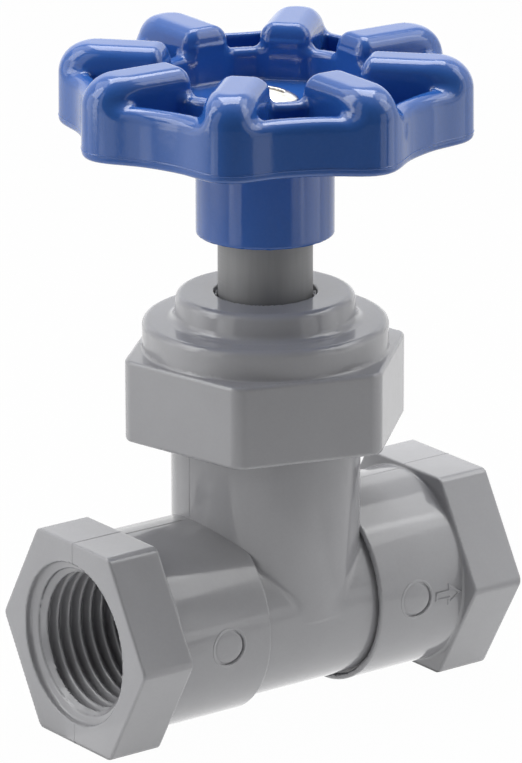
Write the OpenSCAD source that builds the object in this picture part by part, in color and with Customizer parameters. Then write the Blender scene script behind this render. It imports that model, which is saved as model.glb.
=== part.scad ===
// Plastic stop valve of the globe pattern, with threaded ends and a lobed handwheel.
// Z runs up along the stem and X from the inlet to the outlet. The origin lies below the
// stem, on the surface that the two hexagon ends stand on.

/* [Ends] */
// Length over both end faces
body_len = 63.7; // [60:0.1:76]
// Size across the flats of the hexagon ends
hex_af = 28.6; // [28:0.1:33]
// Thickness of each hexagon end
hex_thick = 7.8; // [6:0.1:10]
// Radius on the corners of the hexagon ends
hex_corner_r = 0.6; // [0.3:0.1:1.2]
// Diameter over the crests of the pipe thread, the bore of each port
port_d = 18.6; // [17:0.1:19.4]
// Height of the pipe thread's ridges
port_thread_h = 1.2; // [0.8:0.1:1.4]
// Depth from the end face to where the thread stops
port_depth = 16; // [12:0.1:17.5]
// Length of the plain lead-in before the thread
port_lead = 1.1; // [0.6:0.1:2]
// Width of the chamfer around each port's mouth
mouth_chamfer = 0.6; // [0.3:0.1:1]

/* [Barrel] */
// Diameter of the slimmer barrel between the collars
barrel_d = 25.8; // [25:0.1:27]
// Length of the barrel between the collars
barrel_len = 18.6; // [14:0.1:26]
// Step from the barrel up to each collar
collar_step = 0.9; // [0.4:0.1:1.1]
// Diameter of the waterway past each thread
way_d = 15; // [12:0.1:15.6]
// Wall of the barrel around the chamber below the seat
chamber_wall = 2.7; // [2:0.1:3.2]
// Thickness of the upright parts of the partition
partition_t = 1.8; // [1.4:0.1:2.2]

/* [Neck and seat] */
// Height of the bonnet's underside over the port axis
neck_h = 24.5; // [24:0.1:32]
// How much the neck's side stands in from the barrel's side
neck_inset = 0.1; // [0.1:0.1:0.8]
// Wall of the neck
neck_wall = 2.8; // [2.2:0.1:3.2]
// Height of the thread that the bonnet screws on
neck_thread_h = 1.4; // [1:0.1:1.8]
// Plain stretch at the lower end of the bonnet thread
neck_thread_lead = 0.8; // [0.4:0.1:2]
// Diameter of the hole through the seat
seat_d = 12; // [9:0.1:12.6]
// Width of the raised seat land
seat_land_w = 1.6; // [1:0.1:1.8]
// Height of the raised seat land
seat_land_h = 0.8; // [0.4:0.1:1.4]
// Height of the seat plate's top over the port axis
seat_rise = 1.2; // [0.6:0.1:2]
// Thickness of the seat plate
seat_plate_t = 2.6; // [2:0.1:3.4]
// Distance from the seat hole to the end of the chamber below it
seat_margin = 2; // [1.2:0.1:2.6]

/* [Bonnet] */
// Size across the flats of the bonnet
bonnet_af = 35.1; // [34.4:0.1:40]
// Height of the bonnet's hexagon
bonnet_hex_h = 11.4; // [10:0.1:15]
// Radius on the upright corners of the bonnet
bonnet_corner_r = 1.2; // [0.6:0.1:3]
// How far the round shoulder stands in from the flats
shoulder_inset = 0.8; // [0.2:0.1:1]
// Height of the round shoulder
shoulder_h = 4.1; // [3.8:0.1:7]
// Radius on the shoulder's top edge
shoulder_edge_r = 0.6; // [0.4:0.1:2]
// Diameter of the boss around the stem
boss_d = 24.6; // [20:0.1:27]
// Height of the boss
boss_h = 3.7; // [2.8:0.1:7]
// Radius on the boss's top edge
boss_edge_r = 0.5; // [0.4:0.1:1.6]
// Radius of the fillet at the boss's foot
boss_fillet_r = 1.5; // [0.3:0.1:2]
// Thickness of the bonnet's roof over the gasket
roof_t = 3.6; // [3:0.1:4]
// Thickness of the bonnet gasket
gasket_t = 1.5; // [0.8:0.1:2]
// Distance from the bonnet's ceiling down to the step above the stem's thread
thread_step_drop = 3.8; // [3:0.1:6]
// Turn of the bonnet about the stem, as it is tightened, degrees
bonnet_turn = -17.3; // [-30:0.1:30]

/* [Stem] */
// Diameter of the plain stem
stem_d = 12.86; // [11:0.01:13.4]
// Diameter of the stem's thread
stem_thread_d = 15.8; // [15:0.1:16.6]
// Pitch of the stem's thread
stem_pitch = 2.5; // [1.5:0.1:3]
// Turns from this pose to closed
turns_to_close = 1.5; // [0.5:0.1:1.8]
// Turns from this pose to fully open
turns_to_open = 1; // [0.2:0.1:1.2]
// Section of the stem's seal rings
ring_section = 1.5; // [1:0.1:1.6]
// Size of the square that drives the handwheel
drive_size = 8.6; // [7:0.1:8.8]
// Length of the drive square
drive_len = 7; // [4:0.1:9]
// Diameter of the stem's foot, which the disc holder hangs from
foot_d = 8.8; // [8:0.1:9.6]
// Thickness of the stem's foot
foot_t = 1.8; // [1.4:0.1:2.4]
// Diameter of the waist above the foot
waist_d = 6; // [4.6:0.1:6.8]

/* [Disc] */
// Thickness of the seat washer
washer_t = 2.5; // [2.2:0.1:3.4]
// How far the washer stands below the holder's rim
washer_proud = 0.5; // [0.3:0.1:1]
// Width of the holder's rim around the washer
holder_rim_w = 0.8; // [0.5:0.1:1.2]
// Thickness of the holder between the washer and the stem's foot
holder_block_t = 3.2; // [2.6:0.1:4]
// Thickness of the lips that hold the stem's foot
holder_lip_t = 1.8; // [1.2:0.1:2.4]
// Shank diameter of the washer screw
washer_screw_d = 3; // [2.4:0.1:3.4]
// Head diameter of the washer screw
washer_screw_head_d = 7; // [5:0.1:8]
// Head height of the washer screw
washer_screw_head_t = 1.6; // [1:0.1:2]

/* [Handwheel] */
// Diameter over the lobes
wheel_d = 56.4; // [52:0.1:66]
// Number of lobes
wheel_lobes = 8; // [6:1:9]
// Depth of the hollows between the lobes
lobe_depth = 3.2; // [1:0.1:3.6]
// Gap between the hub skirt and the boss
skirt_gap = 8.2; // [6:0.1:14]
// Diameter of the hub skirt
skirt_d = 18.7; // [17:0.1:22]
// Length of the hub skirt below the rim
skirt_len = 14.1; // [12:0.05:20]
// Height of the rim wall
rim_h = 7.7; // [6:0.05:10]
// Thickness of the rim wall
rim_wall = 2.4; // [1.6:0.1:3]
// Diameter of the well in the middle
well_d = 27.6; // [25:0.1:30]
// Thickness of the ring around the well
ring_wall = 2.4; // [1.6:0.1:3]
// Height of the well's floor over the rim's lower edge
well_floor_h = 3.5; // [2.6:0.05:4]
// Thickness of the well's floor
well_floor_t = 2.2; // [1.6:0.1:2.6]
// Thickness of the web between ring and rim
web_t = 2; // [1.4:0.1:3]
// Depth of the hollow under the web
web_rise = 1; // [0.3:0.05:1.2]
// Width of the ridges that run over the lobes
ridge_w = 7.2; // [6:0.1:8.4]
// Height of the ridges over the rim
ridge_h = 3.5; // [2:0.1:6]
// Radius on the ridges' outer ends
ridge_tip_r = 4.2; // [2.8:0.1:5]
// Radius on the ridges' inner ends
ridge_end_r = 2.75; // [1.5:0.05:3.5]
// Width of the hollow under each ridge
ridge_core_w = 3; // [2:0.1:3.8]
// Thickness of the ridges' top over that hollow
ridge_roof_t = 2.4; // [1.8:0.1:3.2]
// Radius along the ridges' top edges
ridge_edge_r = 2; // [0.8:0.1:2.6]
// How far the ridges stand into the well
ridge_proud = 0.6; // [0.2:0.1:1.2]
// Turn of the handwheel about the stem, degrees
wheel_turn = -2.7; // [-22:0.1:22]

/* [Handwheel screw] */
// Diameter of the head
screw_head_d = 9.2; // [7:0.1:10]
// Height of the head's rim
screw_rim_h = 0.8; // [0.4:0.1:1.4]
// Height of the head's dome over its rim
screw_dome_h = 1.6; // [0.8:0.1:2.4]
// Shank diameter
screw_d = 4; // [3:0.1:4.6]
// Shank length
screw_len = 13; // [9:0.1:18]
// Length of each arm of the cross recess
cross_len = 4.6; // [3:0.1:5.4]
// Width of the cross recess
cross_w = 0.9; // [0.5:0.1:1.4]

/* [Fits] */
// Gap on the radius between stem and bonnet
stem_fit = 0.05; // [0.02:0.01:0.1]
// Gap on the radius between pieces screwed or slid together
joint_fit = 0.1; // [0.05:0.01:0.2]
// Gap on the radius of the hole around the stem at the boss's top
gland_relief = 0.56; // [0.2:0.01:1]
// Gap between the bonnet's sleeve and the neck's bore
sleeve_gap = 0.2; // [0.1:0.05:0.4]
// Gap between the disc holder and the neck's bore
holder_gap = 0.8; // [0.5:0.1:1.2]
// Gap left between the washer and the seat when closed
seat_touch = 0.05; // [0.02:0.01:0.2]
// Gap left above the stem's thread when fully open
stop_gap = 0.1; // [0.05:0.05:0.4]
// Gap between the disc holder and the end of the stem's thread
thread_gap = 0.3; // [0.2:0.1:1]
// Stretch of stem between its two seal grooves
groove_gap = 0.8; // [0.5:0.1:1.5]
// Gap left between the disc holder and the bonnet's sleeve when fully open
sleeve_clear = 0.5; // [0.3:0.1:1]
// Gap on the radius between the hub skirt and the stem
skirt_fit = 0.3; // [0.2:0.05:0.6]

/* [Hidden] */
$fn = 96;
eps = 0.01;
// How far a cutting shape runs past the face it cuts
past = 1;

pvc_grey = [0.55, 0.56, 0.57];
wheel_blue = [0.12, 0.30, 0.62];
rubber_black = [0.10, 0.10, 0.10];
bright_steel = [0.80, 0.79, 0.76];

// Body, along X
axis_z = hex_af / 2;
face_x = body_len / 2;
port_end_x = face_x - port_depth;
collar_d = barrel_d + 2 * collar_step;
mouth_d = port_d + 2 * port_thread_h + 2 * mouth_chamfer;
neck_d = barrel_d - 2 * neck_inset;
neck_bore_d = neck_d - 2 * neck_wall;
chamber_d = barrel_d - 2 * chamber_wall;
neck_margin = 0.1;
// Where each socket meets the middle of the body, just clear of the neck
socket_x = neck_d / 2 + neck_inset + neck_margin;
chamber_in_x = -neck_bore_d / 2 - partition_t;
chamber_out_x = seat_d / 2 + seat_margin;
plate_top_z = axis_z + seat_rise;
plate_low_z = plate_top_z - seat_plate_t;
seat_top_z = plate_top_z + seat_land_h;

// Bonnet, upwards
bonnet_z = axis_z + neck_h;
shoulder_z = bonnet_z + bonnet_hex_h;
shoulder_top_z = shoulder_z + shoulder_h;
boss_top_z = shoulder_top_z + boss_h;
shoulder_d = bonnet_af - 2 * shoulder_inset;
ceiling_z = shoulder_top_z - roof_t;
neck_top_z = ceiling_z - gasket_t;
neck_thread_d = neck_d + 2 * neck_thread_h;
bonnet_bore_d = neck_thread_d + 2 * joint_fit;
sleeve_d = neck_bore_d - 2 * sleeve_gap;
gland_bore_d = stem_d + 2 * stem_fit;
gland_relief_h = 0.8;
gland_low_z = ceiling_z - thread_step_drop;

// Travel and the disc, upwards from the seat
close_drop = stem_pitch * turns_to_close;
open_rise = stem_pitch * turns_to_open;
washer_z = seat_top_z + close_drop + seat_touch;
washer_top_z = washer_z + washer_t;
foot_room_z = washer_top_z + holder_block_t;
lip_z = foot_room_z + foot_t + 2 * joint_fit;
holder_top_z = lip_z + holder_lip_t;
holder_d = neck_bore_d - 2 * holder_gap;
washer_d = holder_d - 2 * holder_rim_w;
sleeve_z = holder_top_z + open_rise + sleeve_clear;

// Stem, upwards
stem_thread_z = holder_top_z + thread_gap;
stem_thread_top_z = gland_low_z - open_rise - stop_gap;
ring_groove_h = ring_section + 2 * joint_fit;
ring_groove_d = stem_d - 2 * ring_section;
lower_ring_z = gland_low_z + close_drop + ring_section / 2 + joint_fit;
upper_ring_z = lower_ring_z + ring_groove_h + groove_gap;

// Handwheel, upwards
skirt_z = boss_top_z + skirt_gap;
rim_z = skirt_z + skirt_len;
rim_top_z = rim_z + rim_h;
ridge_top_z = rim_top_z + ridge_h;
well_floor_z = rim_z + well_floor_h;
socket_top_z = well_floor_z - well_floor_t;
stem_top_z = socket_top_z - 2 * joint_fit;
drive_z = stem_top_z - drive_len;
tip_r = wheel_d / 2;
well_r = well_d / 2;
ring_r = well_r + ring_wall;
lobe_steps = 12;
// How far the turned shape of the ridges runs past the lobes, which trim it
tip_overrun = 0.3;
// How much narrower the lobes are than the hollows between them, 0 for the same breadth
lobe_pinch = 0.6;

// Regular hexagon with its corners turned down, flats facing up and down the second axis
module turned_hexagon(across_flats, corner_r) {
    corner_d = across_flats / cos(30) - 2 * corner_r * (1 / cos(30) - 1);
    intersection() {
        circle(d = across_flats / cos(30), $fn = 6);
        circle(d = corner_d);
    }
}

// Regular hexagon with rounded corners, flats facing up and down the second axis
module round_hexagon(across_flats, corner_r) {
    core_r = (across_flats / 2 - corner_r) / cos(30);
    circle(r = core_r, $fn = 6);
    for (i = [0:5]) rotate(60 * i) translate([core_r, 0]) circle(r = corner_r);
    for (i = [0:2]) rotate(60 * i) square([core_r, across_flats], center = true);
}

// Ring section from radius r0 to r1, with its outer upper edge rounded
module edged_ring_2d(r0, r1, z0, z1, edge_r) {
    translate([r0, z0]) square([r1 - r0, z1 - z0 - edge_r]);
    translate([r0, z0]) square([r1 - r0 - edge_r, z1 - z0]);
    translate([r1 - edge_r, z1 - edge_r]) circle(r = edge_r);
}

// Cylinder along X from x0 to x1, on the port axis
module port_cylinder(x0, x1, d1, d2) {
    translate([x0, 0, axis_z]) rotate([0, 90, 0]) cylinder(h = x1 - x0, d1 = d1, d2 = d2);
}

// Slab of the body between two heights and two places along X
module body_slab(x0, x1, z0, z1) {
    translate([x0, -barrel_d, z0]) cube([x1 - x0, 2 * barrel_d, z1 - z0]);
}

// One end of the body: hexagon, collar and threaded port, on the +X side
module socket() {
    color(pvc_grey) difference() {
        union() {
            translate([face_x - hex_thick, 0, axis_z]) rotate([90, 0, 90])
                linear_extrude(hex_thick) turned_hexagon(hex_af, hex_corner_r);
            port_cylinder(socket_x, face_x - hex_thick + eps, collar_d, collar_d);
        }
        port_space();
        port_cylinder(socket_x - past, port_end_x + eps, way_d, way_d);
    }
}

// Space inside one port, on the +X side: chamfer, lead-in and threaded bore
module port_space() {
    lead_d = port_d + 2 * port_thread_h;
    lead_x = face_x - mouth_chamfer;
    port_cylinder(lead_x, face_x + eps, lead_d, mouth_d + 2 * eps);
    port_cylinder(lead_x - port_lead, lead_x + eps, lead_d, lead_d);
    port_cylinder(port_end_x, lead_x, port_d, port_d);
}

// Waterway: in from -X below the seat, up through it and out to +X
module waterway() {
    port_cylinder(-port_end_x, chamber_in_x, way_d, way_d);
    intersection() {
        port_cylinder(chamber_in_x - eps, chamber_out_x, chamber_d, chamber_d);
        body_slab(chamber_in_x - past, chamber_out_x + past, 0, plate_low_z);
    }
    port_cylinder(chamber_out_x + partition_t, port_end_x, way_d, way_d);
    intersection() {
        port_cylinder(0, port_end_x, way_d, way_d);
        body_slab(-past, port_end_x + past, plate_top_z, hex_af);
    }
}

module inlet_socket() {
    rotate([0, 0, 180]) socket();
}

module outlet_socket() {
    socket();
}

// Middle of the body: barrel, seat and neck
module body_middle() {
    difference() {
        union() {
            port_cylinder(-socket_x, -barrel_len / 2, collar_d, collar_d);
            port_cylinder(barrel_len / 2, socket_x, collar_d, collar_d);
            port_cylinder(-barrel_len / 2 - eps, barrel_len / 2 + eps, barrel_d, barrel_d);
            translate([0, 0, axis_z]) cylinder(h = neck_top_z - axis_z, d = neck_d);
            translate([0, 0, bonnet_z + neck_thread_lead])
                cylinder(h = neck_top_z - bonnet_z - neck_thread_lead, d = neck_thread_d);
        }
        waterway();
        difference() {
            translate([0, 0, plate_top_z]) cylinder(h = neck_top_z, d = neck_bore_d);
            translate([0, 0, plate_top_z - eps])
                cylinder(h = seat_land_h + eps, d = seat_d + 2 * seat_land_w);
        }
        translate([0, 0, plate_low_z - eps])
            cylinder(h = seat_plate_t + seat_land_h + 2 * eps, d = seat_d);
    }
}

// Barrel up to the seat's top
module valve_body() {
    color(pvc_grey) intersection() {
        body_middle();
        body_slab(-socket_x - past, socket_x + past, -past, seat_top_z);
    }
}

// Rest of the barrel over the seat, with the neck
module body_neck() {
    color(pvc_grey) intersection() {
        body_middle();
        body_slab(-neck_thread_d, neck_thread_d, seat_top_z, neck_top_z + past);
    }
}

module bonnet() {
    color(pvc_grey) difference() {
        union() {
            translate([0, 0, bonnet_z]) rotate(bonnet_turn)
                linear_extrude(bonnet_hex_h) round_hexagon(bonnet_af, bonnet_corner_r);
            rotate_extrude() {
                edged_ring_2d(0, shoulder_d / 2, shoulder_z - past, shoulder_top_z, shoulder_edge_r);
                edged_ring_2d(0, boss_d / 2, shoulder_z, boss_top_z, boss_edge_r);
                difference() {
                    translate([boss_d / 2 - eps, shoulder_top_z - eps])
                        square(boss_fillet_r + eps);
                    translate([boss_d / 2 + boss_fillet_r, shoulder_top_z + boss_fillet_r])
                        circle(r = boss_fillet_r);
                }
            }
        }
        difference() {
            translate([0, 0, bonnet_z - past])
                cylinder(h = ceiling_z - bonnet_z + past, d = bonnet_bore_d);
            translate([0, 0, sleeve_z]) cylinder(h = ceiling_z - sleeve_z + past, d = sleeve_d);
        }
        translate([0, 0, sleeve_z - past])
            cylinder(h = gland_low_z - sleeve_z + past, d = stem_thread_d + 2 * stem_fit);
        translate([0, 0, gland_low_z - eps]) cylinder(h = boss_top_z, d = gland_bore_d);
        translate([0, 0, boss_top_z - gland_relief_h])
            cylinder(h = boss_h, d = stem_d + 2 * gland_relief);
    }
}

// Flat ring that the bonnet squeezes onto the neck's top
module bonnet_gasket() {
    color(rubber_black) difference() {
        translate([0, 0, neck_top_z]) cylinder(h = gasket_t, d = neck_thread_d - 2 * joint_fit);
        translate([0, 0, neck_top_z - past])
            cylinder(h = gasket_t + 2 * past, d = neck_bore_d + 2 * joint_fit);
    }
}

// Groove around the stem for one seal ring
module seal_groove(z) {
    translate([0, 0, z - ring_groove_h / 2]) difference() {
        cylinder(h = ring_groove_h, d = stem_d + 2 * past);
        translate([0, 0, -past])
            cylinder(h = ring_groove_h + 2 * past, d = ring_groove_d - 2 * stem_fit);
    }
}

// Seal ring around the stem
module seal_ring(z) {
    color(rubber_black) translate([0, 0, z]) rotate_extrude()
        translate([(ring_groove_d + ring_section) / 2, 0]) circle(d = ring_section);
}

module lower_seal_ring() {
    seal_ring(lower_ring_z);
}

module upper_seal_ring() {
    seal_ring(upper_ring_z);
}

module stem() {
    color(pvc_grey) difference() {
        union() {
            translate([0, 0, foot_room_z + joint_fit]) cylinder(h = foot_t, d = foot_d);
            translate([0, 0, foot_room_z + past]) cylinder(h = stem_thread_z - foot_room_z, d = waist_d);
            translate([0, 0, stem_thread_z])
                cylinder(h = stem_thread_top_z - stem_thread_z, d = stem_thread_d);
            translate([0, 0, stem_thread_z + past])
                cylinder(h = drive_z - stem_thread_z - past, d = stem_d);
            translate([-drive_size / 2, -drive_size / 2, drive_z - past])
                cube([drive_size, drive_size, drive_len + past]);
        }
        seal_groove(lower_ring_z);
        seal_groove(upper_ring_z);
        translate([0, 0, well_floor_z - screw_len - past])
            cylinder(h = screw_len + 2 * past, d = screw_d + 2 * joint_fit);
    }
}

// Holder that slides in the neck's bore and hangs on the stem's foot by a slot
module disc_holder() {
    room_d = foot_d + 2 * joint_fit;
    gap_d = waist_d + 2 * joint_fit;
    color(pvc_grey) difference() {
        translate([0, 0, washer_z + washer_proud])
            cylinder(h = holder_top_z - washer_z - washer_proud, d = holder_d);
        translate([0, 0, washer_z]) cylinder(h = washer_t, d = washer_d + 2 * joint_fit);
        translate([0, 0, washer_z])
            cylinder(h = foot_room_z - washer_z + eps, d = washer_screw_d + 2 * joint_fit);
        translate([0, 0, foot_room_z]) cylinder(h = lip_z - foot_room_z, d = room_d);
        translate([-room_d / 2, 0, foot_room_z]) cube([room_d, holder_d, lip_z - foot_room_z]);
        translate([0, 0, lip_z - past]) cylinder(h = holder_lip_t + 2 * past, d = gap_d);
        translate([-gap_d / 2, 0, lip_z - eps]) cube([gap_d, holder_d, holder_lip_t + past]);
    }
}

module seat_washer() {
    color(rubber_black) difference() {
        translate([0, 0, washer_z]) cylinder(h = washer_t, d = washer_d);
        translate([0, 0, washer_z - past])
            cylinder(h = washer_t + 2 * past, d = washer_screw_d + 2 * joint_fit);
    }
}

module washer_screw() {
    color(bright_steel) {
        translate([0, 0, washer_z - washer_screw_head_t])
            cylinder(h = washer_screw_head_t, d = washer_screw_head_d);
        translate([0, 0, washer_z - eps])
            cylinder(h = washer_t + holder_block_t - thread_gap, d = washer_screw_d);
    }
}

// Way from the middle of a lobe, 0, to the middle of a hollow, 1, at one angle
function lobe_swing(angle) = (1 - cos(wheel_lobes * angle)) / 2;

// Distance of the lobed outline from the stem's axis, where the swing is s
function lobe_radius(s) = tip_r - lobe_depth * s * (1 + lobe_pinch * (1 - s));

// Lobed outline, drawn in by inset
module wheel_outline(inset) {
    count = wheel_lobes * lobe_steps;
    polygon([for (i = [0:count - 1])
        let (angle = (i + 0.5) * 360 / count, r = lobe_radius(lobe_swing(angle)) - inset)
        [r * cos(angle), r * sin(angle)]]);
}

// Ridge along one radius, with both long top edges rounded
module ridge_bar() {
    flat_w = ridge_w - 2 * ridge_edge_r;
    bar_h = ridge_top_z - rim_z - web_rise;
    translate([well_r - 2 * ridge_proud, 0, rim_z + web_rise]) rotate([90, 0, 90])
        linear_extrude(tip_r) {
            translate([-ridge_w / 2, 0]) square([ridge_w, bar_h - ridge_edge_r]);
            translate([-flat_w / 2, 0]) square([flat_w, bar_h]);
            for (side = [-1, 1]) translate([side * flat_w / 2, bar_h - ridge_edge_r])
                circle(r = ridge_edge_r);
        }
}

// Ring in which the ridges lie, with their rounded inner and outer ends
module ridge_ends() {
    inner_r = well_r - ridge_proud;
    outer_r = tip_r + tip_overrun;
    rotate_extrude() {
        translate([inner_r, rim_z]) square([outer_r - inner_r, ridge_top_z - rim_z - ridge_tip_r]);
        translate([inner_r, rim_z])
            square([outer_r - inner_r - ridge_tip_r, ridge_top_z - rim_z - ridge_end_r]);
        translate([inner_r + ridge_end_r, rim_z])
            square([outer_r - inner_r - ridge_tip_r - ridge_end_r, ridge_top_z - rim_z]);
        translate([inner_r + ridge_end_r, ridge_top_z - ridge_end_r]) circle(r = ridge_end_r);
        translate([outer_r - ridge_tip_r, ridge_top_z - ridge_tip_r]) circle(r = ridge_tip_r);
    }
}

module ridges() {
    intersection() {
        for (i = [0:wheel_lobes - 1]) rotate(i * 360 / wheel_lobes) ridge_bar();
        ridge_ends();
        translate([0, 0, rim_z]) linear_extrude(ridge_top_z) wheel_outline(0);
    }
}

// Hollow under one ridge, open below
module ridge_core() {
    core_x = ring_r + ring_wall / 2;
    core_end_x = tip_r - ridge_tip_r - ring_wall / 4;
    translate([core_x, -ridge_core_w / 2, rim_z - past])
        cube([core_end_x - core_x, ridge_core_w, ridge_top_z - ridge_roof_t - rim_z + past]);
}

// Rim, web, ring with its well, and hub skirt
module wheel_shell() {
    translate([0, 0, rim_z]) linear_extrude(rim_h) difference() {
        wheel_outline(0);
        wheel_outline(rim_wall);
    }
    translate([0, 0, rim_z + web_rise]) linear_extrude(web_t) wheel_outline(rim_wall / 2);
    difference() {
        translate([0, 0, rim_z + web_rise])
            cylinder(h = rim_top_z - rim_z - web_rise, r = ring_r);
        translate([0, 0, well_floor_z]) cylinder(h = rim_h, r = well_r);
    }
    translate([0, 0, skirt_z]) cylinder(h = skirt_len + well_floor_h - past, d = skirt_d);
}

module handwheel() {
    socket_size = drive_size + 2 * joint_fit;
    color(wheel_blue) rotate(wheel_turn) difference() {
        union() {
            wheel_shell();
            ridges();
        }
        for (i = [0:wheel_lobes - 1]) rotate(i * 360 / wheel_lobes) ridge_core();
        translate([0, 0, skirt_z - past])
            cylinder(h = drive_z + joint_fit - skirt_z + past, d = stem_d + 2 * skirt_fit);
        rotate(-wheel_turn) translate([-socket_size / 2, -socket_size / 2, drive_z])
            cube([socket_size, socket_size, socket_top_z - drive_z]);
        translate([0, 0, drive_z]) cylinder(h = rim_h * 2, d = screw_d + 4 * joint_fit);
    }
}

module handwheel_screw() {
    head_r = screw_head_d / 2;
    dome_r = (head_r * head_r + screw_dome_h * screw_dome_h) / (2 * screw_dome_h);
    dome_z = well_floor_z + screw_rim_h;
    color(bright_steel) difference() {
        union() {
            translate([0, 0, well_floor_z]) cylinder(h = screw_rim_h, d = screw_head_d);
            intersection() {
                translate([0, 0, dome_z - eps]) cylinder(h = screw_dome_h + past, d = screw_head_d);
                translate([0, 0, dome_z + screw_dome_h - dome_r]) sphere(r = dome_r);
            }
            translate([0, 0, well_floor_z - screw_len])
                cylinder(h = screw_len + eps, d = screw_d);
        }
        for (a = [45, 135]) rotate(a) translate([-cross_len / 2, -cross_w / 2, dome_z])
            cube([cross_len, cross_w, screw_dome_h + past]);
    }
}

valve_body();
body_neck();
inlet_socket();
outlet_socket();
bonnet();
bonnet_gasket();
stem();
lower_seal_ring();
upper_seal_ring();
disc_holder();
seat_washer();
washer_screw();
handwheel();
handwheel_screw();
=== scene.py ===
"""Plastic stop valve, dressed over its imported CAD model.

Shapes are worked out in millimetres, in the frame of the CAD, and written in metres. The moulded
forms are fields, negative inside the material. They are joined and cut with rounded edges, and
then meshed as surface nets.
"""

import math

import bpy
import numpy as np
from mathutils import Matrix, Vector


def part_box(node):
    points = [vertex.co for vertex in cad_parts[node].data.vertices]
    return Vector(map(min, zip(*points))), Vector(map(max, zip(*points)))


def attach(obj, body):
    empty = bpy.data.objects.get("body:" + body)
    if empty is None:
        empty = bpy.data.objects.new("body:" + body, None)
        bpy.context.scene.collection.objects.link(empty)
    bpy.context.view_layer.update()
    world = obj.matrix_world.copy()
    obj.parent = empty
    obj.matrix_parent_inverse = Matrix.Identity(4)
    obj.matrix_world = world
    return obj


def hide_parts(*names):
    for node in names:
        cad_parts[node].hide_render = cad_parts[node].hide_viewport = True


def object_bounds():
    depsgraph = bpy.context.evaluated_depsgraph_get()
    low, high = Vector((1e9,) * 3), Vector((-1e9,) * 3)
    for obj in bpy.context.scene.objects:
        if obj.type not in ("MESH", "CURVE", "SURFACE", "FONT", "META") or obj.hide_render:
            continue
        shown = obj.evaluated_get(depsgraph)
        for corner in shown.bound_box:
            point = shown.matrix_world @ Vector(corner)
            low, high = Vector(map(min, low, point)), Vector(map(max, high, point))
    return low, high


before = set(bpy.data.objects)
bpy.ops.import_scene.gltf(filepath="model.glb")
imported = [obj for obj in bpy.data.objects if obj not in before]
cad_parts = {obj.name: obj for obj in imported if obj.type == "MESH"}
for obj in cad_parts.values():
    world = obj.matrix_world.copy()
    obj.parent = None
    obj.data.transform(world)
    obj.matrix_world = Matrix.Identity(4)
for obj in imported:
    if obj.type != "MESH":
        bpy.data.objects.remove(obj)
cad_box = [list(corner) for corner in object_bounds()]

MM = 0.001
# Keeps a division clear of zero
TINY = 1e-9
# How far a form runs on past the surface that it joins or cuts
PAST = 1.0


def node_z(node, side):
    """Lowest (side 0) or highest (side 1) point of a CAD node, in mm."""
    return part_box(node)[side][2] / MM


# Surface nets: grid steps, and free room around a form
END_STEP = 0.3
MIDDLE_STEP = 0.36
BONNET_STEP = 0.38
WHEEL_STEP = 0.42
SCREW_STEP = 0.16
ROOM = 1.0
BODY_ROOM = 0.9
SCREW_ROOM = 0.5
LAYERS_AT_ONCE = 8
# How the net's points are drawn to the surface: rounds, the largest move in a round as a share of
# a step, how far to each side the field is read for a move and for a normal, and the least that
# the square of a slope counts for
ROUNDS = 4
LARGEST_MOVE = 0.5
SLOPE_REACH = 0.02
NORMAL_REACH = 0.05
LEAST_SLOPE = 0.05

# Body, along X
FACE_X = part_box("outlet_socket")[1][0] / MM
INLET_PROUD = 0.4
AXIS_Z = 14.3
HEX_THICK = 8.2
HEX_CORNER_R = 0.6
HEX_EDGE_R = 0.3
HEX_FILLET_R = 0.35
BARREL_R = 12.72
BARREL_EDGE_R = 0.1
COLLAR_R = 13.8
COLLAR_X = 9.3
COLLAR_EDGE_R = 0.3
GROOVE_R = 13.05
GROOVE_DEPTH = 0.7
GROOVE_EDGE_R = 0.1

# Ports: a stepped mouth, a plain lead, and the pipe thread
PORT_END_X = FACE_X - 16.0
PORT_EDGE_R = 0.18
MOUTH_R = 11.25
MOUTH_LEN = 0.9
MOUTH_EDGE_R = 0.25
LEDGE_LEAN = -0.35
LEAD_R = 10.1
LEAD_LEN = 0.6
LEAD_SLOPE = 1.1
ROOT_FADE = 0.3
THREAD_PITCH = 1.814
THREAD_CREST_R = 9.3
THREAD_ROOT_R = 10.5
# Shares of half a pitch: the flat crest and the flank, and how much the flank is rounded
THREAD_CREST = 0.14
THREAD_FLANK = 0.72
THREAD_ROUNDING = 0.35

# Waterway and seat
WAY_R = 7.5
CHAMBER_R = 10.2
CHAMBER_X = (-11.8, 8.0)
OUTLET_X = 9.8
PLATE_Z = (12.9, 15.5)
SEAT_TOP_Z = 16.3
SEAT_R = 6.0
SEAT_LAND_R = 7.6
WAY_EDGE_R = 0.15
# Value of a field with nothing in it
FAR = 99.0

# Neck
NECK_R = 12.89
NECK_EDGE_R = 0.3
NECK_BORE_R = 10.0
NECK_BORE_EDGE_R = 0.12
NECK_TOP_Z = node_z("bonnet_gasket", 0)
SADDLE_R = 0.35
# Thread under the bonnet: its flanks, and how far above the bonnet's lower edge it starts
NECK_THREAD_R = 14.2
NECK_THREAD_PITCH = 2.2
NECK_THREAD_STEEP = 1.5
NECK_THREAD_OFFSET = 0.25
NECK_THREAD_START = 2.4
NECK_THREAD_FILLET_R = 0.2
# The grid of the barrel and the neck starts here, a little below the barrel
BODY_MIDDLE_LOW_Z = 0.5

# Round marks on the collars: x by side, pocket, and the turn at which the gap beside the disc is
# deepest. Its depth goes around the disc as a cosine, with this swing and this middle.
MARK_X = {-1: 16.35, 1: 15.5}
MARK_POCKET_R = 2.4
MARK_POCKET_DEPTH = 0.8
MARK_GAP_TURN = math.radians(-30)
MARK_GAP_SHARE = (0.8, 0.3)
MARK_SIDES = 96
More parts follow.
